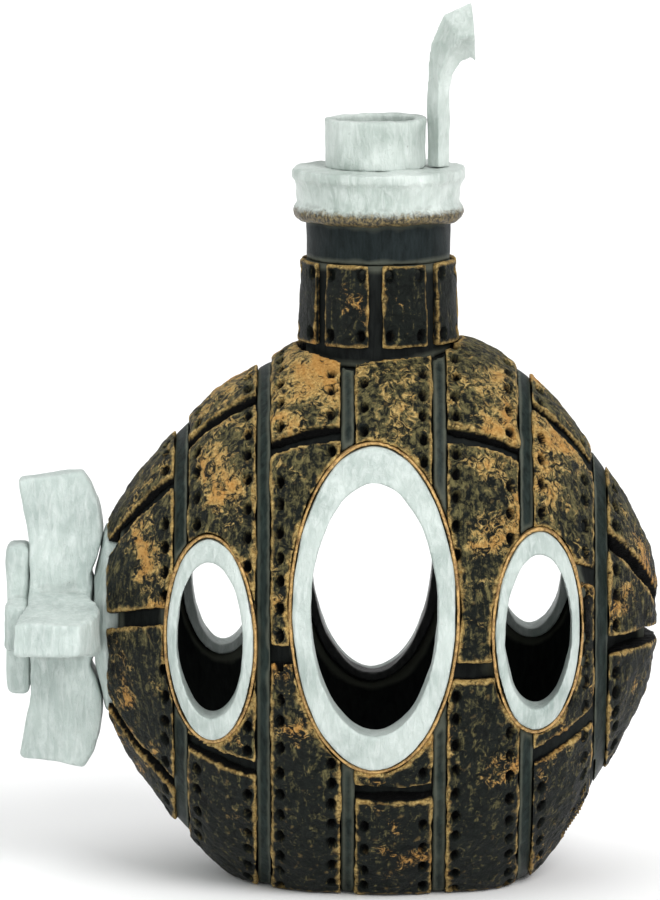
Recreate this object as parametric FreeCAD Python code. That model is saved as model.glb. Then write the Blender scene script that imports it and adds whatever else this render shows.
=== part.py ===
import FreeCAD, Part
import math
import os

# Aquarium bubbling ornament: a riveted toy submarine with a propeller that turns.
# Frame: origin at the middle of the flat underside, +Z up, +X towards the nose,
# the propeller at -X. Port is the +Y side and starboard the -Y side. Millimetres.

V = FreeCAD.Vector
os.makedirs("parts", exist_ok=True)

# ---- overall sizes -------------------------------------------------------------------
hull_top = 101.4          # crown of the hull above the floor
hull_half_depth = 38.0    # half the beam of the hull, port to starboard
axis_height = 46.4        # the line along X that the plate seams fan out from
tail_x = -50.4            # flat stern of the plating
nose_x = 51.0             # blunt tip of the plating

# ---- hull skin -----------------------------------------------------------------------
plate = 2.2               # thickness of a riveted plate
wall = 3.3                # casting wall under the plates
glue = 0.05               # glue line between neighbouring castings
seam = 3.0                # open seam between two plates of a strake
barrel = 1.7              # how far a strake bulges between its two hoops
hoop_x = (-36.7, -21.5, -6.2, 10.5, 26.3, 40.2)
hoop_width = 2.6
hoop_sink = 0.8           # crown of a hoop below the plates beside it
plate_lift = 0.35         # underside of the plates' edge above the floor

# Each station is an x, how far the hull's middle line stands above the seam line there, and
# the section's upright radius as a part of the tallest one.
hull_radius = hull_top - axis_height
STATIONS = [(tail_x, 1.4, 0.340), (hoop_x[0], 0.0, 0.684), (hoop_x[1], -0.4, 0.905),
            (hoop_x[2], 0.0, 1.000), (hoop_x[3], 0.0, 0.996), (hoop_x[4], -0.2, 0.878),
            (hoop_x[5], 1.6, 0.548), (nose_x - 1.2, 2.6, 0.228)]
tip_radius = 0.13         # radius of the flat tip, as a part of the same section
SEAMS = {                 # angles of the seams in each strake, up from the beam line
    "tail": (64, 14, -58), "aft": (73.5, -35), "quarter": (57, 1.3), "waist": (-36,),
    "fore": (57, -3.3), "bow": (74, 31, -33), "nose": (51, -1)}
STRAKES = ("tail", "aft", "quarter", "waist", "fore", "bow", "nose")

# ---- portholes: name, side, middle x and z, half width and half height of the hole ----
PORTS = [("aft_starboard", -1, -31.2, 48.6, 6.1, 14.3), ("mid_starboard", -1, -1.4, 55.2, 11.5, 22.7),
         ("fore_starboard", -1, 28.4, 50.6, 6.1, 14.0), ("aft_port", 1, -29.4, 53.0, 6.1, 14.0),
         ("mid_port", 1, -1.4, 55.2, 11.5, 22.7), ("fore_port", 1, 28.4, 55.4, 6.1, 13.6)]
ring_side = 0.28          # width of a ring beside the hole, as a part of its half width
ring_end = 0.28           # and above and below it, as a part of its half height
ring_proud = 1.0          # face of a ring outside the plates
sleeve = 1.8              # wall of the sleeve that runs through the hull
sleeve_reach = 2.0        # how far a sleeve stands into the hull
bezel = 0.8               # width of the gilt rim around a ring
bezel_proud = 0.5
bezel_gap = 0.15          # paint line between a ring and its rim

# ---- tower, cap and periscope: heights are stacked up from the crown of the hull --------
tower_x = -0.45
neck_radius = 13.4
tower_bore = 9.0
tower_plate_base = hull_top - 1.1
tower_plate_top = tower_plate_base + 15.1
tower_plate_out = (neck_radius + 1.5, neck_radius + 1.0)   # outer radius at foot and head
tower_room = 0.4                 # gap between the hull plates and the tower plates
tower_plate_count = 8
tower_plate_turn = -2.7          # angle of the first groove from straight ahead
tower_groove = 2.5
neck_shrink = 0.1                # step in radius from the collar to the neck
neck_top = tower_plate_top + 7.6
cap_base = neck_top - 0.4
cap_top = cap_base + 9.6
cap_radius = neck_radius + 2.5
cap_waist = neck_radius + 1.6
cap_bead_base = 1.3              # how far the bead's underside is drawn in
cap_bead_neck = 0.9              # and the bottom of the waist above it
cap_bead_middle = 1.6            # heights of the bead's bulge and of its top
cap_bead_top = 3.0
cap_rim = 2.3                    # height of the cap's upper rim
cap_rim_edge = 0.5               # chamfer under the rim
spout_x = -0.95
spout_out = 9.3
spout_bore = 7.1
spout_top = cap_top + 9.1
scope_x = 10.6
scope_bend = cap_top + 14.8      # height where the bar begins to bend
SCOPE = ((0.0, 0.0, 0, 3.0),     # forward, up, tilt and side of the bar's square sections
         (0.3, 2.7, 12, 3.4), (1.4, 6.4, 33, 4.6), (3.4, 9.3, 57, 6.6), (6.4, 10.1, 86, 7.9))

# ---- propeller and tail --------------------------------------------------------------
prop_z = axis_height + 1.8
axle_radius = 2.0
running = 0.05                   # clearance of a turning fit
bush_radius = 4.4
boss_inset = 1.2                 # plating left standing around the stern boss
boss_proud = 0.5
boss_nose = 8.9
boss_oval = 0.01                 # the boss's nose is this much narrower than high
boss_end = -53.0
hub_radius = 8.6
hub_front = -53.5
hub_back = -65.0
blade_tip = 27.2
blade_corner = 1.2               # how far the blade's rear corner stands below its front one
blade_crown = 0.6
blade_rake = 2.0                 # lean of the rear edge at the tip
blade_nose = 1.7                 # how far the front edge falls back at the tip
blade_swell = 1.7                # how far the front edge bulges forward of the hub
blade_swell_at = 0.71            # radius of the fullest bulge, as a part of the tip's
blade_front = 0.35               # step between the hub's face and the blade's root
blade_root_thick = 11.0
blade_tip_thick = 5.7
knob_reach = 14.0
knob_bar = 8.7
knob_thick = 4.3
knob_round = 1.3
axle_sunk = 2.5                  # rear end of the axle behind the hub, inside the knob
axle_tail = 1.0                  # axle left standing past its clip
bush_reach = 1.5                 # how far the bush stands into the hull
clip_radius = 4.2
clip_thick = 1.4
end_play = 0.4

# ---- air line inside the hull --------------------------------------------------------
floor_thick = 2.5
air_x = 2.1
air_z = 12.0
spigot_radius = 2.4              # free end that takes the air line
spigot_bore = 1.2
spigot_stand = 1.0               # the free end begins this far outside the plating
spigot_length = 10.0
tail_radius = 3.1                # the inlet's thicker stem, through the hull
grommet_radius = 4.9
hose_wall = 1.0
hose_grip = 4.0                  # length of hose pushed over each end
hose_clear = 0.6                 # gap between the hose and the grommet
stone_radius = 7.5
stone_span = (-18.0, 3.0)
nipple_reach = 6.0
cradle_thick = 3.0
cradle_wall = 1.6
cradle_inset = 3.0               # distance of a saddle from the end of the stone
room = 200.0                     # longer than the whole ornament


def save(name, shape):
    """Write one sub-part."""
    shape.exportStep("parts/" + name + ".step")
    print(name, "solids", len(shape.Solids), "volume", round(shape.Volume, 1))


def box(x0, x1, y0, y1, z0, z1):
    return Part.makeBox(x1 - x0, y1 - y0, z1 - z0, V(x0, y0, z0))


def hull_at(x):
    """Height of the middle line and upright half height of the plating at x."""
    for (xa, la, ra), (xb, lb, rb) in zip(STATIONS, STATIONS[1:]):
        if x <= xb or xb == STATIONS[-1][0]:
            u = min((x - xa) / (xb - xa), 1.0)
            swell = 4 * barrel * u * (1 - u)
            return axis_height + la + (lb - la) * u, hull_radius * (ra + (rb - ra) * u) + swell


def section(x, inset, size=None):
    """Ellipse across the hull at x, a distance inset inside the plating."""
    middle, radius = hull_at(x)
    if size is not None:
        radius = size
    half_height = radius - inset
    half_width = radius * hull_half_depth / hull_radius - inset
    curve = Part.Ellipse(V(x, 0, middle + half_height), V(x, half_width, middle), V(x, 0, middle))
    return Part.Wire(curve.toShape())


def half_beam(x, z, inset):
    """Half the width of the hull at x and height z, inset inside the plating."""
    middle, radius = hull_at(x)
    climb = (z - middle) / (radius - inset)
    return (radius * hull_half_depth / hull_radius - inset) * math.sqrt(1 - climb * climb)


def hull_body(inset, start, end, tip=True):
    """Smooth closed body of the whole hull, inset inside the plating, from start to end."""
    inner = [station[0] for station in STATIONS[1:] if start < station[0] <= end]
    wires = [section(x, inset) for x in [start] + inner]
    if tip:
        wires.append(section(end, inset, tip_radius * hull_radius + inset * 0.5))
    return Part.makeLoft(wires, True, False)


def oval(x, z, half_x, half_z, y0, y1):
    """Upright oval prism that runs along Y."""
    curve = Part.Ellipse(V(x, y0, z + half_z), V(x + half_x, y0, z), V(x, y0, z))
    return Part.Face(Part.Wire(curve.toShape())).extrude(V(0, y1 - y0, 0))


def port_oval(port, grow, across=0.0, along=0.0):
    """Oval prism through one wall: a port's hole made bigger by grow, and by parts of its size."""
    side, x, z, half_x, half_z = port[1:]
    y0, y1 = sorted((0.0, side * room))
    return oval(x, z, half_x * (1 + across) + grow, half_z * (1 + along) + grow, y0, y1)


def ring_oval(port, grow):
    """Oval prism of the outside of a port's ring, made bigger all round by grow."""
    return port_oval(port, grow, ring_side, ring_end)


def tube(x, outer, inner, z0, z1):
    """Upright tube around the vertical line through (x, 0)."""
    body = Part.makeCylinder(outer, z1 - z0, V(x, 0, z0))
    return body.cut(Part.makeCylinder(inner, z1 - z0 + 2, V(x, 0, z0 - 1)))


def rod_x(radius, x0, x1, z=prop_z):
    return Part.makeCylinder(radius, x1 - x0, V(x0, 0, z), V(1, 0, 0))


def rod_y(radius, y0, y1):
    return Part.makeCylinder(radius, y1 - y0, V(air_x, y0, air_z), V(0, 1, 0))


def stern_oval(x, half_width, half_height):
    """Oval across the stern, centred on the propeller's line."""
    if half_height <= half_width:
        curve = Part.Circle(V(x, 0, prop_z), V(1, 0, 0), half_height)
    else:
        curve = Part.Ellipse(V(x, 0, prop_z + half_height), V(x, half_width, prop_z), V(x, 0, prop_z))
    return Part.Wire(curve.toShape())


def upright(radius, x, z0):
    """Long upright rod that starts at z0."""
    return Part.makeCylinder(radius, room, V(x, 0, z0))


# ---- hull casting: two halves glued along the keel line -------------------------------
tail_face = tail_x + plate
nose_face = nose_x - plate
casting = hull_body(plate, tail_face, nose_face)
cavity = hull_body(plate + wall, tail_face + wall, nose_face - wall, False)
shell = casting.common(box(-room, room, -room, room, 0, room)).cut(cavity)
holes = [port_oval(port, sleeve + glue) for port in PORTS]
holes.append(upright(tower_bore, tower_x, axis_height))
holes.append(rod_x(bush_radius + glue, -room, hoop_x[0]))
holes.append(rod_y(grommet_radius + glue, 0, room))
for name, low, high in (("hull_half_port", glue / 2, room), ("hull_half_starboard", -room, -glue / 2)):
    save(name, shell.common(box(-room, room, low, high, 0, room)).cut(holes))

floor_slab = hull_body(plate + wall + glue, tail_face + wall, nose_face - wall, False)
save("base_plate", floor_slab.common(box(-room, room, -room, room, 0, floor_thick)))

# ---- what the plates and hoops have to leave room for ----------------------------------
boss_height = STATIONS[0][2] * hull_radius - boss_inset
boss_width = STATIONS[0][2] * hull_half_depth - boss_inset
outer_casting = hull_body(plate - glue, tail_face - glue, nose_face + glue)
keep_out = [ring_oval(port, bezel + glue) for port in PORTS]
keep_out.append(upright(tower_plate_out[0] + tower_room, tower_x, axis_height))
keep_out.append(rod_y(grommet_radius + glue, 0, room))
boss_face = Part.Face(stern_oval(-room, boss_width + glue, boss_height + glue))
keep_out.append(boss_face.extrude(V(room + hoop_x[0], 0, 0)))


def fit_skin(body):
    """Lay a body of the outer skin on the casting, clear of every fitting."""
    body = body.common(box(-room, room, -room, room, plate_lift, room)).cut(outer_casting)
    return body.cut([block for block in keep_out if block.BoundBox.intersect(body.BoundBox)])


def seam_slab(angle, side):
    """Flat slab that opens a seam along the hull at an angle up from the beam line."""
    slab = box(-room, room, 0, room, -seam / 2, seam / 2)
    slab.rotate(V(0, 0, 0), V(1, 0, 0), angle)
    slab.translate(V(0, 0, axis_height))
    if side < 0:
        slab = slab.mirror(V(0, 0, 0), V(0, 1, 0))
    return slab


# ---- strakes of riveted plates ---------------------------------------------------------
half_hoop = hoop_width / 2 + glue
edges = [tail_x] + list(hoop_x) + [nose_x]
for name, left, right in zip(STRAKES, edges, edges[1:]):
    x0 = left if name == "tail" else left + half_hoop
    x1 = right if name == "nose" else right - half_hoop
    last = STATIONS[-1][0] if name == "nose" else x1
    wires = [section(x, 0) for x in (x0, (x0 + last) / 2, last)]
    strake = Part.makeLoft(wires, True, False)
    if name == "nose":
        tip = [section(last, 0), section(nose_x, 0, tip_radius * hull_radius)]
        strake = strake.fuse(Part.makeLoft(tip, True, True))
    slabs = [seam_slab(angle, side) for angle in SEAMS[name] for side in (1, -1)]
    save("plates_" + name, fit_skin(strake).cut(slabs))

# ---- hoops between the strakes ---------------------------------------------------------
for number, x in enumerate(hoop_x, 1):
    wires = [section(x + dx, hoop_sink) for dx in (-hoop_width / 2, hoop_width / 2)]
    save("hoop_" + str(number), fit_skin(Part.makeLoft(wires, True, True)))

# ---- porthole rings with their sleeves, and the gilt bezels around them ----------------
proud = hull_body(-ring_proud, tail_x, nose_x)
rim = hull_body(-bezel_proud, tail_x, nose_x)
lining = hull_body(plate + wall + sleeve_reach, tail_face + wall + sleeve_reach,
                   nose_face - wall - sleeve_reach, False)
for port in PORTS:
    flange = ring_oval(port, 0).common(proud).cut(outer_casting)
    pipe = port_oval(port, sleeve).common(proud).cut(lining)
    save("porthole_ring_" + port[0], flange.fuse(pipe).cut(port_oval(port, 0)).removeSplitter())
    around = ring_oval(port, bezel).cut(ring_oval(port, bezel_gap))
    save("porthole_bezel_" + port[0], around.common(rim).cut(outer_casting))

# ---- tower ------------------------------------------------------------------------------
collar = tube(tower_x, neck_radius, tower_bore, axis_height + hull_radius / 2, tower_plate_top - glue)
save("tower_collar", collar.cut(outer_casting.fuse(cavity)))
staves = Part.makeCone(tower_plate_out[0], tower_plate_out[1], tower_plate_top - tower_plate_base,
                       V(tower_x, 0, tower_plate_base))
staves = staves.cut(upright(neck_radius + glue, tower_x, axis_height))
for step in range(tower_plate_count):
    slot = box(-tower_groove / 2, tower_groove / 2, -room, 0, axis_height, room)
    slot.rotate(V(0, 0, 0), V(0, 0, 1), tower_plate_turn + step * 360 / tower_plate_count)
    slot.translate(V(tower_x, 0, 0))
    staves = staves.cut(slot)
save("tower_plates", staves)
neck_out = neck_radius - neck_shrink
save("tower_neck", tube(tower_x, neck_out, tower_bore, tower_plate_top, neck_top))

# ---- cap, spout and periscope ------------------------------------------------------------
rim_low = cap_top - cap_rim
bead_neck = cap_radius - cap_bead_neck
bead_top = cap_base + cap_bead_top
rim_under = cap_radius - cap_rim_edge
foot = [V(spout_bore, 0, cap_base), V(cap_radius - cap_bead_base, 0, cap_base)]
bead = Part.Arc(foot[1], V(cap_radius, 0, cap_base + cap_bead_middle), V(bead_neck, 0, bead_top))
waist = Part.Arc(V(bead_neck, 0, bead_top), V(cap_waist, 0, (bead_top + rim_low) / 2),
                 V(rim_under, 0, rim_low))
rest = [V(rim_under, 0, rim_low), V(cap_radius, 0, rim_low + cap_rim_edge), V(cap_radius, 0, cap_top),
        V(spout_bore, 0, cap_top), foot[0]]
profile = Part.Wire([Part.LineSegment(foot[0], foot[1]).toShape(), bead.toShape(),
                     waist.toShape()] + Part.makePolygon(rest).Edges)
cap = Part.Face(profile).revolve(V(0, 0, 0), V(0, 0, 1), 360)
cap.translate(V(tower_x, 0, 0))
cap = cap.cut(upright(spout_bore, spout_x, axis_height))
save("hatch_cap", cap.cut(tube(tower_x, neck_out + glue, tower_bore - glue, axis_height, neck_top)))
save("bubble_spout", tube(spout_x, spout_out, spout_bore, cap_top, spout_top))


def bar_section(x, z, tilt, side):
    """Square section of the periscope, one edge towards the viewer, tilted over towards +X."""
    half = side / math.sqrt(2)
    corners = [V(half, 0, 0), V(0, half, 0), V(-half, 0, 0), V(0, -half, 0), V(half, 0, 0)]
    wire = Part.makePolygon(corners)
    wire.rotate(V(0, 0, 0), V(0, 1, 0), tilt)
    wire.translate(V(x, 0, z))
    return wire


bar = [bar_section(scope_x, cap_top, SCOPE[0][2], SCOPE[0][3])]
bar += [bar_section(scope_x + ahead, scope_bend + up, tilt, side) for ahead, up, tilt, side in SCOPE]
scope = Part.makeLoft(bar, True, True)
spout_room = Part.makeCylinder(spout_out + glue, spout_top - cap_top + glue, V(spout_x, 0, cap_top))
save("periscope", scope.cut(spout_room))

# ---- stern boss and propeller bush --------------------------------------------------------
boss_face_x = tail_face - glue
boss_rim = tail_x - boss_proud
boss_ovals = [stern_oval(x, boss_width, boss_height) for x in (boss_face_x, boss_rim)]
boss = Part.makeLoft(boss_ovals, True, True)
boss_front = stern_oval(boss_end, boss_nose - boss_oval, boss_nose)
taper = Part.makeLoft([boss_ovals[1], boss_front], True, True)
save("stern_boss", boss.fuse(taper).cut(rod_x(bush_radius + glue, -room, hoop_x[0])))
bush_inner = tail_face + wall + bush_reach
bush = rod_x(bush_radius, boss_end, bush_inner).cut(rod_x(axle_radius + running, -room, 0))
save("propeller_bush", bush)

blades = rod_x(hub_radius, hub_back, hub_front)
knob_clear = knob_reach + glue
front_root = V(hub_front - blade_front, 0, hub_radius)
lean = [V(hub_back + glue, 0, 0), V(hub_back + glue, 0, knob_clear),
        V(hub_back - blade_rake, 0, blade_tip - blade_corner),
        V(hub_front - blade_nose, 0, blade_tip + blade_crown)]
swelled = Part.Arc(lean[-1], V(hub_front + blade_swell, 0, blade_tip * blade_swell_at), front_root)
closing = [front_root, V(hub_front - blade_front, 0, 0), lean[0]]
outline = Part.Wire(Part.makePolygon(lean).Edges + [swelled.toShape()] + Part.makePolygon(closing).Edges)
blade = Part.Face(outline).extrude(V(0, 2 * blade_tip, 0))
blade.translate(V(0, -blade_tip, 0))
root, tip, cut_off = blade_root_thick / 2, blade_tip_thick / 2, 2 * blade_tip
wedge = Part.makePolygon([V(-room, -root, 0), V(-room, root, 0), V(-room, root, hub_radius),
                          V(-room, tip, blade_tip), V(-room, tip, cut_off), V(-room, -tip, cut_off),
                          V(-room, -tip, blade_tip), V(-room, -root, hub_radius), V(-room, -root, 0)])
blade = blade.common(Part.Face(wedge).extrude(V(room, 0, 0)))
for turn in range(4):
    copy = blade.copy()
    copy.rotate(V(0, 0, 0), V(1, 0, 0), 90 * turn)
    copy.translate(V(0, 0, prop_z))
    blades = blades.fuse(copy)
axle_room = rod_x(axle_radius + glue, -room, 0)
save("propeller", blades.removeSplitter().cut(axle_room))

bars = []
for turn in range(2):
    arm = box(-knob_thick, 0, -knob_bar / 2, knob_bar / 2, -knob_reach, knob_reach)
    arm = arm.makeFillet(knob_round, arm.Edges)
    arm.rotate(V(0, 0, 0), V(1, 0, 0), 90 * turn)
    arm.translate(V(hub_back - glue, 0, prop_z))
    bars.append(arm)
axle_end = hub_back - axle_sunk
save("hub_knob", bars[0].fuse(bars[1]).cut(rod_x(axle_radius + glue, axle_end - glue, 0)))

clip_x = bush_inner + end_play
clip_end = clip_x + clip_thick
save("propeller_axle", rod_x(axle_radius, axle_end, clip_end + axle_tail))
save("axle_clip", rod_x(clip_radius, clip_x, clip_end).cut(axle_room))

# ---- air line: spigot, grommet, hose, stone and its cradle ---------------------------------
spigot_root = half_beam(air_x, air_z, 0) + spigot_stand
print("air line's free end starts at y", spigot_root)
hose_end = half_beam(air_x, air_z - grommet_radius, plate + wall) - hose_clear
spigot_inner = hose_end - hose_grip
stem = rod_y(tail_radius, spigot_inner, spigot_root)
stem = stem.fuse(rod_y(spigot_radius, spigot_root, spigot_root + spigot_length))
save("air_inlet", stem.cut(rod_y(spigot_bore, 0, room)))
plug = rod_y(grommet_radius, 0, room).common(hull_body(0, tail_x, nose_x)).cut(cavity)
save("inlet_grommet", plug.cut(rod_y(tail_radius + glue, 0, room)))
stone_end = stone_span[1]
nipple_end = stone_end + nipple_reach
save("air_stone", rod_y(stone_radius, *stone_span))
nipple = rod_y(tail_radius, stone_end + glue, nipple_end)
save("stone_nipple", nipple.cut(rod_y(spigot_bore, 0, room)))
hose = rod_y(tail_radius + hose_wall, nipple_end - hose_grip, hose_end)
save("air_hose", hose.cut(rod_y(tail_radius + glue, 0, room)))
saddles = []
for y in (stone_span[0] + cradle_inset, stone_end - cradle_inset - cradle_thick):
    width = stone_radius + cradle_wall
    saddle = box(air_x - width, air_x + width, y, y + cradle_thick, floor_thick, air_z)
    saddles.append(saddle.cut(rod_y(stone_radius + glue, -room, room)))
save("stone_cradle", Part.makeCompound(saddles))
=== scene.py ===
# %% [markdown]
# # A riveted toy submarine that blows bubbles
# The object is an aquarium ornament: a cast resin hull covered with hammered plates, dark hoops
# between them, silver portholes, a tower with a bubble spout, and a propeller that turns on an axle.
# The engineering model is loaded first. It fixes the size and place of every piece, so each piece
# below starts from its own solid and is given the look of a hand-finished casting.

# %% Load the frame
import bpy
import bmesh
import math
import numpy as np
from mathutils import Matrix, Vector
from mathutils.bvhtree import BVHTree


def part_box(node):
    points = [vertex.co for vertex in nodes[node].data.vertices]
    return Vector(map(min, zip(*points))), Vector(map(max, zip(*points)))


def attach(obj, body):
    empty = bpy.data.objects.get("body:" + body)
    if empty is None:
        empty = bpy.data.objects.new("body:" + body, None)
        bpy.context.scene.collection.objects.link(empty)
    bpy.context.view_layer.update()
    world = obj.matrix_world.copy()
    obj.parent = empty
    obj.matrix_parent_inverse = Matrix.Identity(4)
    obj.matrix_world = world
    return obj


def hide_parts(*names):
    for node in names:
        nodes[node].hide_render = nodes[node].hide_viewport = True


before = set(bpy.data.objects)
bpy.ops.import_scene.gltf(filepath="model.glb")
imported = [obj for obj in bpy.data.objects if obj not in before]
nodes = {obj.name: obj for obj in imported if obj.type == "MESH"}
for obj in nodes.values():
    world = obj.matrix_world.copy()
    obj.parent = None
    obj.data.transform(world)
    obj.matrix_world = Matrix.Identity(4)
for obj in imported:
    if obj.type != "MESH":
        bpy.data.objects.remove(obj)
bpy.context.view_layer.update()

MM = 0.001

# %% [markdown]
# ## Camera, floor and light
# A long lens far away keeps the tall hull from looking bloated. The camera looks slightly down, so
# the top of the cap and the lower lip of the portholes show. Two soft suns light the pale floor
# evenly however far it runs, and two square lamps in front fill the hull's shadowed side.

# %% Camera
pitch = math.radians(8.2)
distance = 1.3
aim = Vector((-0.0094, 0.0, 0.0795))
camera = bpy.data.objects.new("camera", bpy.data.cameras.new("camera"))
camera.data.lens = 280.8
camera.data.sensor_width = 36.0
camera.data.clip_start = 0.05
camera.data.clip_end = 60.0
camera.location = aim - distance * Vector((0.0, math.cos(pitch), -math.sin(pitch)))
camera.rotation_euler = (math.pi / 2 - pitch, 0.0, 0.0)
bpy.context.collection.objects.link(camera)
bpy.context.scene.camera = camera
print("camera at", tuple(round(v, 4) for v in camera.location))


# %% Lamps and sky
def lamp(name, place, target, size, power, tint=(1.0, 1.0, 1.0)):
    """A square soft lamp that faces a point on the object."""
    data = bpy.data.lights.new(name, "AREA")
    data.size = size
    data.energy = power
    data.color = tint
    thing = bpy.data.objects.new(name, data)
    thing.location = place
    thing.rotation_euler = (Vector(target) - Vector(place)).to_track_quat("-Z", "Y").to_euler()
    bpy.context.collection.objects.link(thing)
    return thing


def sun(name, heading, spread, strength):
    """A far soft light that shines along a heading and lights the whole floor evenly."""
    data = bpy.data.lights.new(name, "SUN")
    data.angle = math.radians(spread)
    data.energy = strength
    thing = bpy.data.objects.new(name, data)
    thing.rotation_euler = Vector(heading).to_track_quat("-Z", "Y").to_euler()
    bpy.context.collection.objects.link(thing)


sun("key_sun", (-0.55, 0.75, -0.80), 35.0, 2.0)
sun("top_sun", (0.25, -0.1, -1.0), 80.0, 1.3)
lamp("fill", (-0.8, -0.7, 0.35), (0.0, 0.0, 0.07), 0.7, 2.0, (0.90, 1.0, 0.96))
lamp("front", (0.35, -1.1, 0.30), (0.0, 0.0, 0.09), 0.5, 2.2)
world = bpy.data.worlds.new("studio")
world.use_nodes = True
world.node_tree.nodes["Background"].inputs["Color"].default_value = (1.0, 1.0, 1.0, 1.0)
world.node_tree.nodes["Background"].inputs["Strength"].default_value = 0.50
bpy.context.scene.world = world
bpy.context.scene.view_settings.view_transform = "Standard"

# %% [markdown]
# ## Patterns shared by the paints
# Every paint is built from the same few effects, so they are node groups. One gives clouds, flecks,
# grain and brush streaks. The other turns numbers measured on the mesh into rubbed edges, painted
# shade in hollows and painted black shade in pits and seams.
# A group gives out only masks, and each material keeps its own shader.


# %% Helpers to wire nodes
def add(tree, kind, **settings):
    """Adds a node, sets its properties, and returns it."""
    made = tree.nodes.new(kind)
    for key, value in settings.items():
        setattr(made, key, value)
    return made


def fade(tree, source, low, high):
    """Goes from 0 to 1 while the source goes from low to high, which may also run downwards."""
    made = add(tree, "ShaderNodeMapRange")
    made.inputs["From Min"].default_value = low
    made.inputs["From Max"].default_value = high
    tree.links.new(source, made.inputs["Value"])
    return made.outputs["Result"]


def mix(tree, factor, a, b):
    """Mixes two colours, each a socket or a plain colour."""
    made = add(tree, "ShaderNodeMix", data_type="RGBA")
    for name, value in ((0, factor), (6, a), (7, b)):
        if hasattr(value, "is_output"):
            tree.links.new(value, made.inputs[name])
        else:
            made.inputs[name].default_value = value
    return made.outputs[2]


def maths(tree, operation, *values):
    """One sum on two or three numbers, each a socket or a plain number."""
    made = add(tree, "ShaderNodeMath", operation=operation)
    for place, value in enumerate(values):
        if hasattr(value, "is_output"):
            tree.links.new(value, made.inputs[place])
        else:
            made.inputs[place].default_value = value
    return made.outputs[0]


def noise(tree, vector, scale, detail=4.0, rough=0.6, distort=0.0):
    """A cloud pattern of the given scale on object coordinates."""
    made = add(tree, "ShaderNodeTexNoise")
    made.inputs["Scale"].default_value = scale
    made.inputs["Detail"].default_value = detail
    made.inputs["Roughness"].default_value = rough
    made.inputs["Distortion"].default_value = distort
    tree.links.new(vector, made.inputs["Vector"])
    return made.outputs["Fac"]


# %% Patches: broad clouds, small flecks and brush streaks
patches = bpy.data.node_groups.new("patches", "ShaderNodeTree")
patches.interface.new_socket("Vector", in_out="INPUT", socket_type="NodeSocketVector")
for socket in ("Clouds", "Flecks", "Grain", "Streaks"):
    patches.interface.new_socket(socket, in_out="OUTPUT", socket_type="NodeSocketFloat")
inside = add(patches, "NodeGroupInput")
outside = add(patches, "NodeGroupOutput")
place = inside.outputs["Vector"]
stretch = add(patches, "ShaderNodeMapping")
stretch.inputs["Scale"].default_value = (1.0, 1.0, 0.22)
stretch.inputs["Rotation"].default_value = (0.0, 0.5, 0.0)
patches.links.new(place, stretch.inputs["Vector"])
patches.links.new(noise(patches, place, 95.0, 3.0, 0.55, 0.4), outside.inputs["Clouds"])
patches.links.new(noise(patches, place, 620.0, 8.0, 0.74, 1.4), outside.inputs["Flecks"])
patches.links.new(noise(patches, place, 1900.0, 4.0, 0.7), outside.inputs["Grain"])
streaks = noise(patches, stretch.outputs["Vector"], 900.0, 5.0, 0.68, 0.6)
patches.links.new(streaks, outside.inputs["Streaks"])

# %% Relief: rubbed edges, painted shade in hollows and painted black shade in pits
relief = bpy.data.node_groups.new("relief", "ShaderNodeTree")
for socket in ("Rubbed", "HollowShade", "PitShade"):
    relief.interface.new_socket(socket, in_out="OUTPUT", socket_type="NodeSocketFloat")
outside = add(relief, "NodeGroupOutput")
ridge = add(relief, "ShaderNodeAttribute", attribute_name="ridge").outputs["Fac"]
pit_shade = add(relief, "ShaderNodeAttribute", attribute_name="pit_shade").outputs["Fac"]
relief.links.new(fade(relief, ridge, 0.57, 0.70), outside.inputs["Rubbed"])
# Painted shade: points lying below their neighbours darken, as shade in hollows and seams.
relief.links.new(fade(relief, ridge, 0.42, 0.24), outside.inputs["HollowShade"])
# Painted shade: this mark blackens rivet holes, seam walls and the far porthole sleeve.
relief.links.new(pit_shade, outside.inputs["PitShade"])
print("node groups", [g.name for g in bpy.data.node_groups])


# %% [markdown]
# ## Paints
# The plates were cast nearly black, then dragged with an almost dry brush of gold, so the gold sits
# on edges and high grain. It thins out towards the floor, partly from the brush and partly as painted
# shade on the lower hull. The silver was brushed on thickly and shows pits and streaks, with painted
# shade along its rims. The hoops stay slate with a soft sheen.


# %% A blank paint with its groups in place
def start_paint(name, roughness, metallic=0.0):
    """A material with the shared patterns wired to object coordinates."""
    paint = bpy.data.materials.new(name)
    paint.use_nodes = True
    tree = paint.node_tree
    shader = tree.nodes["Principled BSDF"]
    shader.inputs["Roughness"].default_value = roughness
    shader.inputs["Metallic"].default_value = metallic
    where = add(tree, "ShaderNodeTexCoord")
    pattern = add(tree, "ShaderNodeGroup", node_tree=patches)
    worn = add(tree, "ShaderNodeGroup", node_tree=relief)
    tree.links.new(where.outputs["Object"], pattern.inputs["Vector"])
    return paint, tree, shader, where.outputs["Object"], pattern.outputs, worn.outputs


def roughen(tree, shader, height, strength, reach):
    """Gives the shader a bump from a height pattern."""
    bump = add(tree, "ShaderNodeBump")
    bump.inputs["Strength"].default_value = strength
    bump.inputs["Distance"].default_value = reach
    tree.links.new(height, bump.inputs["Height"])
    tree.links.new(bump.outputs["Normal"], shader.inputs["Normal"])


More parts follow.
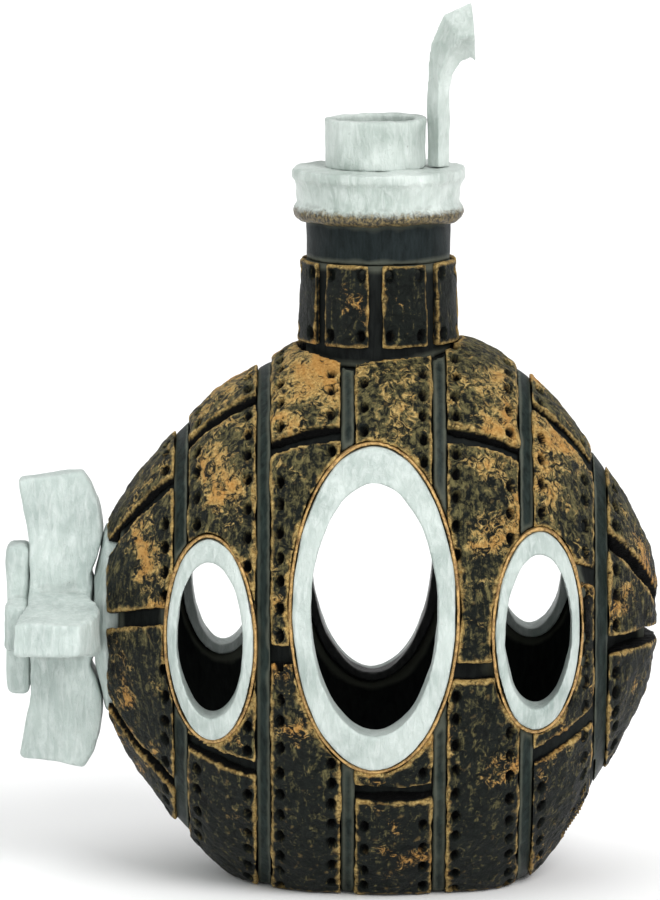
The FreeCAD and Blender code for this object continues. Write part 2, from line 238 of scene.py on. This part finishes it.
# %% Dry-brushed iron for the plates
def plate_paint(name, gold_amount):
    """Near-black casting under dragged gold. A higher amount leaves more gold."""
    paint, tree, shader, where, pattern, worn = start_paint(name, 0.5, 0.0)
    shader.inputs["Specular IOR Level"].default_value = 0.13
    apart = add(tree, "ShaderNodeSeparateXYZ")
    tree.links.new(where, apart.inputs[0])
    # More gold higher up and darker towards the floor: partly the brush's habit, partly painted shade on the
    # lower hull.
    bias = maths(tree, "MULTIPLY_ADD", apart.outputs["Z"], 1.15, gold_amount - 0.055)
    flecks, clouds = pattern["Flecks"], pattern["Clouds"]
    iron = mix(tree, fade(tree, flecks, 0.35, 0.70), (0.0016, 0.0026, 0.0022, 1), (0.016, 0.021, 0.017, 1))
    olive = mix(tree, pattern["Streaks"], (0.040, 0.038, 0.016, 1), (0.27, 0.23, 0.095, 1))
    gold = mix(tree, fade(tree, pattern["Grain"], 0.35, 0.65), (0.27, 0.15, 0.035, 1), (0.72, 0.52, 0.20, 1))
    orange = (0.56, 0.24, 0.045, 1)
    gold = mix(tree, fade(tree, clouds, 0.58, 0.68), gold, mix(tree, 0.55, gold, orange))
    haze = maths(tree, "MULTIPLY_ADD", pattern["Streaks"], 0.55, maths(tree, "MULTIPLY", flecks, 0.55))
    haze = maths(tree, "ADD", haze, bias)
    coat = mix(tree, fade(tree, haze, 0.55, 0.68), iron, olive)
    heap = maths(tree, "ADD", maths(tree, "MULTIPLY", clouds, 0.62), maths(tree, "MULTIPLY", flecks, 0.62))
    heap = maths(tree, "ADD", heap, bias)
    coat = mix(tree, fade(tree, heap, 0.690, 0.745), coat, gold)
    rub = maths(tree, "MULTIPLY", worn["Rubbed"], fade(tree, flecks, 0.36, 0.52))
    coat = mix(tree, maths(tree, "MULTIPLY", rub, 0.9), coat, gold)
    # Painted shade: hollows and seams darken to near black.
    coat = mix(tree, maths(tree, "MULTIPLY", worn["HollowShade"], 0.9), coat, (0.004, 0.004, 0.0035, 1))
    # Painted shade: rivet holes and seam walls turn black.
    coat = mix(tree, worn["PitShade"], coat, (0.001, 0.001, 0.001, 1))
    tree.links.new(coat, shader.inputs["Base Color"])
    tree.links.new(maths(tree, "MULTIPLY_ADD", flecks, 0.4, 0.28), shader.inputs["Roughness"])
    height = maths(tree, "ADD", flecks, maths(tree, "MULTIPLY", pattern["Grain"], 0.3))
    roughen(tree, shader, height, 1.0, 0.0011)
    return paint


# %% Slate for hoops, neck and inside of the hull
def slate_paint(name, dark, light, roughness):
    """A dull dark paint with faint lighter rubbing."""
    paint, tree, shader, where, pattern, worn = start_paint(name, roughness)
    shader.inputs["Specular IOR Level"].default_value = 0.10
    coat = mix(tree, fade(tree, pattern["Streaks"], 0.35, 0.65), dark, light)
    coat = mix(tree, maths(tree, "MULTIPLY", worn["Rubbed"], 0.35), coat, (0.16, 0.17, 0.13, 1))
    # Painted shade: hollows darken towards black.
    coat = mix(tree, maths(tree, "MULTIPLY", worn["HollowShade"], 0.7), coat, (0.004, 0.005, 0.005, 1))
    tree.links.new(coat, shader.inputs["Base Color"])
    roughen(tree, shader, pattern["Flecks"], 0.35, 0.0004)
    return paint


# %% Silver for rings, cap, spout and propeller
def silver_paint(name, dark, light, roughness, hollow_shade_amount, dark_foot=None):
    """Thick brushed silver with pits, painted shade along its hollows, and a darker mottled band below a
    height.
    """
    paint, tree, shader, where, pattern, worn = start_paint(name, roughness, 0.0)
    shader.inputs["Specular IOR Level"].default_value = 0.45
    coat = mix(tree, fade(tree, pattern["Clouds"], 0.22, 0.60), dark, light)
    brushed = mix(tree, 0.4, coat, (0.80, 0.84, 0.82, 1))
    coat = mix(tree, fade(tree, pattern["Streaks"], 0.44, 0.72), coat, brushed)
    specks = maths(tree, "MULTIPLY", fade(tree, pattern["Flecks"], 0.36, 0.29), 0.7)
    coat = mix(tree, specks, coat, (0.16, 0.17, 0.15, 1))
    # Painted shade: marked holes and the far sleeve turn black.
    coat = mix(tree, worn["PitShade"], coat, (0.004, 0.005, 0.005, 1))
    # Painted shade along hollows and rims, as strong as the amount given.
    hollow_shade = maths(tree, "MULTIPLY", worn["HollowShade"], hollow_shade_amount)
    coat = mix(tree, hollow_shade, coat, (0.05, 0.05, 0.035, 1))
    # A darker mottled band along the foot of the cap, fading out a few millimetres up.
    if dark_foot:
        apart = add(tree, "ShaderNodeSeparateXYZ")
        tree.links.new(where, apart.inputs[0])
        level = fade(tree, apart.outputs["Z"], dark_foot[1], dark_foot[0])
        low = maths(tree, "ADD", level, maths(tree, "MULTIPLY", pattern["Flecks"], 0.9))
        grain = fade(tree, pattern["Grain"], 0.42, 0.62)
        foot_tone = mix(tree, grain, (0.010, 0.009, 0.006, 1), (0.20, 0.15, 0.06, 1))
        coat = mix(tree, fade(tree, low, 0.80, 1.10), coat, foot_tone)
    tree.links.new(coat, shader.inputs["Base Color"])
    height = maths(tree, "ADD", pattern["Streaks"], maths(tree, "MULTIPLY", pattern["Flecks"], 0.5))
    roughen(tree, shader, height, 0.7, 0.0007)
    return paint


# %% Gilt, stone and plain fittings
def gilt_paint(name):
    """Old gold rubbed through to brown."""
    paint, tree, shader, where, pattern, worn = start_paint(name, 0.42, 0.4)
    coat = mix(tree, fade(tree, pattern["Flecks"], 0.38, 0.60), (0.14, 0.07, 0.02, 1), (0.60, 0.38, 0.14, 1))
    # Painted shade: hollows in the bezel darken.
    coat = mix(tree, maths(tree, "MULTIPLY", worn["HollowShade"], 0.6), coat, (0.012, 0.01, 0.008, 1))
    tree.links.new(coat, shader.inputs["Base Color"])
    roughen(tree, shader, pattern["Flecks"], 0.4, 0.0004)
    return paint


def fitting_paint(name, dark, light, roughness, metallic, bump):
    """A small fitting: two close tones and a fine grain."""
    paint, tree, shader, where, pattern, worn = start_paint(name, roughness, metallic)
    tree.links.new(mix(tree, pattern["Grain"], dark, light), shader.inputs["Base Color"])
    roughen(tree, shader, pattern["Grain"], bump, 0.0004)
    return paint


cap_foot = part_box("hatch_cap")[0][2]
cap_dark_band = (cap_foot + 0.4 * MM, cap_foot + 4.2 * MM)
paints = {
    "plate_iron": plate_paint("dry_brushed_iron", 0.0),
    "tower_iron": plate_paint("dry_brushed_tower", -0.12),
    "hoop_slate": slate_paint("hoop_slate", (0.003, 0.006, 0.005, 1), (0.016, 0.025, 0.022, 1), 0.42),
    "neck_slate": slate_paint("neck_slate", (0.003, 0.006, 0.006, 1), (0.012, 0.018, 0.019, 1), 0.5),
    "casting_black": slate_paint("casting_black", (0.003, 0.004, 0.004, 1), (0.010, 0.012, 0.011, 1), 0.7),
    "ring_silver": silver_paint("ring_silver", (0.25, 0.31, 0.285, 1), (0.47, 0.53, 0.50, 1), 0.38, 0.5),
    "cap_silver": silver_paint("cap_silver", (0.27, 0.33, 0.295, 1), (0.56, 0.62, 0.585, 1),
                               0.36, 0.8, cap_dark_band),
    "propeller_silver": silver_paint("propeller_silver", (0.28, 0.34, 0.32, 1), (0.47, 0.54, 0.51, 1),
                                     0.40, 0.6),
    "bezel_gilt": gilt_paint("bezel_gilt"),
    "base_resin": fitting_paint("base_resin", (0.02, 0.02, 0.018, 1), (0.05, 0.05, 0.045, 1), 0.8, 0.0, 0.4),
    "axle_steel": fitting_paint("axle_steel", (0.45, 0.45, 0.46, 1), (0.62, 0.62, 0.63, 1), 0.3, 1.0, 0.1),
    "bush_plastic": fitting_paint("bush_plastic", (0.55, 0.55, 0.50, 1), (0.68, 0.68, 0.64, 1),
                                  0.5, 0.0, 0.1),
    "inlet_plastic": fitting_paint("inlet_plastic", (0.60, 0.62, 0.62, 1), (0.72, 0.74, 0.74, 1),
                                   0.3, 0.0, 0.1),
    "hose_rubber": fitting_paint("hose_rubber", (0.02, 0.02, 0.02, 1), (0.05, 0.05, 0.05, 1), 0.7, 0.0, 0.2),
    "stone_grit": fitting_paint("stone_grit", (0.16, 0.22, 0.30, 1), (0.40, 0.46, 0.52, 1), 0.95, 0.0, 1.0),
}
print("paints", len(paints))

# %% [markdown]
# ## From a sharp solid to a soft casting
# A toy pulled from a rubber mould has no sharp corners and no flat faces. Bevelling every edge of
# every plate would round it too evenly, so a copy of the solid is rebuilt as a fine even grid (a
# voxel remesh), relaxed a little, and pushed in and out by a slow cloud. Then each point gets a
# number for how far it stands out of its surroundings, which the paints read.


# %% Copy a solid and rebuild it as a casting
def copy_solid(name):
    """A merged copy of an engineering solid."""
    source = bmesh.new()
    source.from_mesh(nodes[name].data)
    bmesh.ops.remove_doubles(source, verts=source.verts, dist=1e-7)
    return source


def settle(thing):
    """Turns live modifiers into plain mesh."""
    layers = bpy.context.evaluated_depsgraph_get()
    layers.update()
    mesh = bpy.data.meshes.new_from_object(thing.evaluated_get(layers))
    thing.modifiers.clear()
    old = thing.data
    thing.data = mesh
    bpy.data.meshes.remove(old)


lumps = bpy.data.textures.new("lumps", "CLOUDS")
lumps.noise_scale = 0.006
lumps.noise_depth = 1
hammer = bpy.data.textures.new("hammer", "CLOUDS")
hammer.noise_scale = 0.0016
hammer.noise_depth = 2


def cast(name, body, paint, voxel, relax=3, lump=0.0, dent=0.0):
    """A soft casting made from an engineering solid."""
    mesh = bpy.data.meshes.new(name + "_cast")
    solid = copy_solid(name)
    solid.to_mesh(mesh)
    solid.free()
    thing = bpy.data.objects.new(name + "_cast", mesh)
    bpy.context.collection.objects.link(thing)
    grid = thing.modifiers.new("grid", "REMESH")
    grid.mode = "VOXEL"
    grid.voxel_size = voxel
    if relax:
        soft = thing.modifiers.new("soft", "SMOOTH")
        soft.factor = 0.5
        soft.iterations = relax
    for texture, amount in ((lumps, lump), (hammer, dent)):
        if amount:
            push = thing.modifiers.new(texture.name, "DISPLACE")
            push.texture = texture
            push.texture_coords = "GLOBAL"
            push.strength = amount
            push.mid_level = 0.5
    settle(thing)
    thing.data.materials.clear()
    thing.data.materials.append(paints[paint])
    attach(thing, body)
    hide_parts(name)
    return thing


# %% Measure ridges and hollows on a mesh
def store(mesh, name, values):
    """Keeps one number for each point under a name that the paints read."""
    if name not in mesh.attributes:
        mesh.attributes.new(name, "FLOAT", "POINT")
    mesh.attributes[name].data.foreach_set("value", values.astype(np.float32))


def measure(thing, gain=0.35, reach=6):
    """Stores how far each point stands proud of its neighbours: 0.5 is flat, 1 an edge."""
    mesh = thing.data
    count = len(mesh.vertices)
    points = np.empty(count * 3)
    mesh.vertices.foreach_get("co", points)
    points = points.reshape(-1, 3)
    normals = np.empty(count * 3)
    mesh.vertex_normals.foreach_get("vector", normals)
    normals = normals.reshape(-1, 3)
    pairs = np.empty(len(mesh.edges) * 2, dtype=np.int64)
    mesh.edges.foreach_get("vertices", pairs)
    a, b = pairs.reshape(-1, 2).T
    degree = np.maximum(np.bincount(a, minlength=count) + np.bincount(b, minlength=count), 1)

    def spread(values):
        """Mean of each point's neighbours."""
        if values.ndim == 1:
            return (np.bincount(a, values[b], count) + np.bincount(b, values[a], count)) / degree
        return np.stack([spread(values[:, k]) for k in range(values.shape[1])], axis=1)

    smooth = points
    for _ in range(reach):
        smooth = spread(smooth)
    proud = ((points - smooth) * normals).sum(axis=1) / MM
    for _ in range(2):
        proud = 0.5 * (proud + spread(proud))
    ridge = np.clip(0.5 + proud / gain * 0.5, 0.0, 1.0)
    store(mesh, "ridge", ridge)
    store(mesh, "pit_shade", np.zeros(count))
    mesh.shade_smooth()


# %% [markdown]
# ## Plates with punched rivet holes
# Each strake of plates has a row of rivet holes along both edges, punched by hand with uneven
# steps. Cutting them with booleans before the remesh would lose them, because they are barely wider
# than the grid, so the points near each hole are pressed in after it. Rays shot at the hull's middle
# line find where the holes lie, and a hole is dropped where a seam or a porthole is too near.

# %% Rivet rows on one strake
axis_height = 46.4 * MM          # the line along X that the seams fan out from
waist_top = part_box("plates_waist")[1]
flatness = (waist_top[2] - axis_height) / waist_top[1]
far_out = 0.09                   # rays start outside the hull
rng = np.random.default_rng(7)


def rivet_places(tree, x, step, inset):
    """Points and inward directions along the line at x where a rivet hole fits on the plates."""
    places = []
    angle = -math.pi / 2 + rng.uniform(0.0, 0.06)
    while angle < 1.5 * math.pi:
        out = Vector((0.0, -math.cos(angle), math.sin(angle)))
        middle = Vector((x, 0.0, axis_height))
        hit, face, _, _ = tree.ray_cast(middle + out * far_out, -out)
        if hit is None or (hit - middle).dot(out) < 0.008:
            angle += 0.05
            continue
        radius = (hit - middle).length
        near = True
        for side in (-inset, inset):
            turned = angle + side / radius
            probe_out = Vector((0.0, -math.cos(turned), math.sin(turned)))
            probe, _, _, _ = tree.ray_cast(middle + probe_out * far_out, -probe_out)
            near = near and probe is not None and abs((probe - middle).length - radius) < 0.0012
        if near:
            places.append((hit, -face.normalized()))
            angle += step * rng.uniform(0.85, 1.2) / radius
        else:
            angle += 0.02
    return places


def sunken(points, slices=0.0005, sectors=110):
    """Marks from 0 to 1 the points well below the plates around them, such as a seam's walls, which the
    paints turn into painted black shade.
    """
    y, z = points[:, 1] * flatness, points[:, 2] - axis_height
    away = np.hypot(y, z)
    along = ((points[:, 0] - points[:, 0].min()) / slices).astype(int)
    around = ((np.arctan2(z, y) / (2 * math.pi) + 0.5) * sectors).astype(int) % sectors
    skin = np.zeros((along.max() + 1, sectors))
    np.maximum.at(skin, (along, around), away)
    skin = np.maximum(skin, np.maximum(np.roll(skin, 1, axis=1), np.roll(skin, -1, axis=1)))
    depth = skin[along, around] - away
    return np.clip((depth - 0.0008) / 0.0005, 0.0, 1.0)


def press(thing, places, wide, tall, depth):
    """Presses an oval dimple at each place, and returns how deep in a dimple each point lies, the mask that
    the paints turn into painted black shade.
    """
    mesh = thing.data
    count = len(mesh.vertices)
    points = np.empty(count * 3)
    mesh.vertices.foreach_get("co", points)
    points = points.reshape(-1, 3)
    shade = np.zeros(count)
    for hit, inward in places:
        inward = np.array(inward)
        offset = points - np.array(hit)
        along = offset @ inward
        across = offset[:, 0] / wide
        flat = offset - np.outer(along, inward)
        other = np.sqrt(np.maximum((flat ** 2).sum(axis=1) - flat[:, 0] ** 2, 0.0)) / tall
        from_middle = np.sqrt(across ** 2 + other ** 2)
        near = (from_middle < 1.25) & (np.abs(along) < 0.0010)
        fall = np.clip((1.25 - from_middle[near]) / 0.5, 0.0, 1.0)
        fall = fall * fall * (3 - 2 * fall)
        points[near] += np.outer(fall * depth, inward)
        shade[near] = np.maximum(shade[near], np.clip((1.12 - from_middle[near]) / 0.25, 0.0, 1.0))
    mesh.vertices.foreach_set("co", points.ravel())
    mesh.update()
    return shade


# %% Make the seven strakes
strakes = ("tail", "aft", "quarter", "waist", "fore", "bow", "nose")
row_inset = 0.0016
rivet_step = 0.0044
for strake in strakes:
    name = "plates_" + strake
    low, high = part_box(name)
    piece = cast(name, "hull", "plate_iron", 0.00036, relax=1, lump=0.0009, dent=0.00045)
    tree = BVHTree.FromObject(piece, bpy.context.evaluated_depsgraph_get())
    rows = [low[0] + row_inset, high[0] - row_inset]
    if strake == "nose":
        rows = rows[:1]
    if strake == "tail":
        rows = rows[1:]
    holes = [spot for x in rows for spot in rivet_places(tree, x, rivet_step, row_inset)]
    measure(piece)
    shade = press(piece, holes, 0.00074, 0.00106, 0.0015)
    points = np.empty(len(shade) * 3)
    piece.data.vertices.foreach_get("co", points)
    # Painted shade: rivet holes and seam walls are marked to be painted black.
    store(piece.data, "pit_shade", np.maximum(shade, sunken(points.reshape(-1, 3))))
    print(name, "holes", len(holes), "triangles", sum(len(p.vertices) - 2 for p in piece.data.polygons))

# %% [markdown]
# ## Hoops, hull and portholes
# The hoops are plain half-round bands, and the portholes are silver rings on a gilt rim. They keep
# crisper shapes than the plates, so they get smaller lumps. The far middle ring's sleeve is black
# inside: painted shade where the near porthole looks straight at it.

# %% Hoops and inner hull
for number in range(1, 7):
    piece = cast("hoop_" + str(number), "hull", "hoop_slate", 0.00045, relax=6, lump=0.0003)
    measure(piece)
for half in ("port", "starboard"):
    piece = cast("hull_half_" + half, "hull", "casting_black", 0.0008, relax=2, lump=0.0004)
    measure(piece)
print("hoops and hull done")

# %% Porthole rings and bezels
for spot in ("aft", "mid", "fore"):
    for side in ("starboard", "port"):
        place = spot + "_" + side
        ring = cast("porthole_ring_" + place, "hull", "ring_silver", 0.00035, relax=4, lump=0.0005)
        measure(ring, gain=0.5)
        if spot == "mid" and side == "port":
            across = np.array([v.co.y for v in ring.data.vertices])
            # Painted shade: the far middle ring's sleeve more than 4.5 mm in from its face is painted black.
            store(ring.data, "pit_shade", np.clip((across.max() - 0.0045 - across) / 0.001, 0.0, 1.0))
        bezel = cast("porthole_bezel_" + place, "hull", "bezel_gilt", 0.00030, relax=2, lump=0.0003)
        measure(bezel)
print("portholes done")

# %% [markdown]
# ## Tower, cap and spout
# The tower repeats the hull on a small scale: eight staves around a collar, each with a rivet hole
# in every corner. The cap above it is silver, thick and roughly made, with painted shade under its bead.

# %% Tower staves
staves = cast("tower_plates", "hull", "tower_iron", 0.00030, relax=3, lump=0.0005, dent=0.0003)
low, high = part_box("tower_plates")
centre = ((low[0] + high[0]) / 2, (low[1] + high[1]) / 2)
stave_count = 8
stave_turn = 360 / stave_count
first_groove = -2.7              # degrees from straight ahead
corner_turn = 0.21               # from the middle of a stave to its rivets, in radians
stave_holes = []
tree = BVHTree.FromObject(staves, bpy.context.evaluated_depsgraph_get())
for stave in range(stave_count):
    for shift in (-corner_turn, corner_turn):
        for height in (low[2] + 0.0021, high[2] - 0.0019):
            angle = math.radians(first_groove + stave_turn / 2 + stave_turn * stave) + shift
            out = Vector((math.sin(angle), -math.cos(angle), 0.0))
            start = Vector((centre[0], centre[1], height))
            hit, _, _, _ = tree.ray_cast(start + out * 0.03, -out)
            if hit is not None:
                stave_holes.append((hit, -out))
measure(staves)
# Painted shade: the stave rivet holes are marked to be painted black.
store(staves.data, "pit_shade", press(staves, stave_holes, 0.00074, 0.00108, 0.0013))
print("stave holes", len(stave_holes))

# %% Collar, neck, cap, spout and periscope
for name, paint, voxel, lump, dent in (
        ("tower_collar", "casting_black", 0.0006, 0.0003, 0.0),
        ("tower_neck", "neck_slate", 0.0005, 0.0004, 0.0),
        ("hatch_cap", "cap_silver", 0.00035, 0.0009, 0.0003),
        ("bubble_spout", "cap_silver", 0.00035, 0.0008, 0.0001),
        ("periscope", "cap_silver", 0.00025, 0.0004, 0.0001),
        ("stern_boss", "propeller_silver", 0.0004, 0.0006, 0.0)):
    piece = cast(name, "hull", paint, voxel, relax=3, lump=lump, dent=dent)
    measure(piece, gain=0.4)
print("tower done")

# %% [markdown]
# ## Propeller
# Four thick paddles on a round hub, with a cross-shaped knob on the end. It turns on its axle, so
# these pieces ride on the propeller body.

# %% Paddles and knob
for name, voxel in (("propeller", 0.0005), ("hub_knob", 0.00035)):
    piece = cast(name, "propeller", "propeller_silver", voxel, relax=3, lump=0.0007, dent=0.0001)
    measure(piece, gain=0.45)
print("propeller done")

# %% Fittings that keep their exact solids
for name, paint in (
        ("base_plate", "base_resin"), ("propeller_axle", "axle_steel"), ("axle_clip", "axle_steel"),
        ("propeller_bush", "bush_plastic"), ("air_inlet", "inlet_plastic"),
        ("stone_nipple", "inlet_plastic"), ("inlet_grommet", "hose_rubber"),
        ("air_hose", "hose_rubber"), ("air_stone", "stone_grit"), ("stone_cradle", "base_resin")):
    nodes[name].data.materials.clear()
    nodes[name].data.materials.append(paints[paint])
print("fittings painted")

# %% [markdown]
# ## Floor
# One wide pale sheet, level with the underside.

# %% Floor
floor = bpy.data.meshes.new("floor")
sheet = bmesh.new()
bmesh.ops.create_grid(sheet, x_segments=1, y_segments=1, size=30.0)
sheet.to_mesh(floor)
sheet.free()
ground = bpy.data.objects.new("floor", floor)
bpy.context.collection.objects.link(ground)
pale = bpy.data.materials.new("pale_floor")
pale.use_nodes = True
chalk = pale.node_tree.nodes["Principled BSDF"]
chalk.inputs["Base Color"].default_value = (0.95, 0.95, 0.95, 1)
chalk.inputs["Roughness"].default_value = 0.9
floor.materials.append(pale)
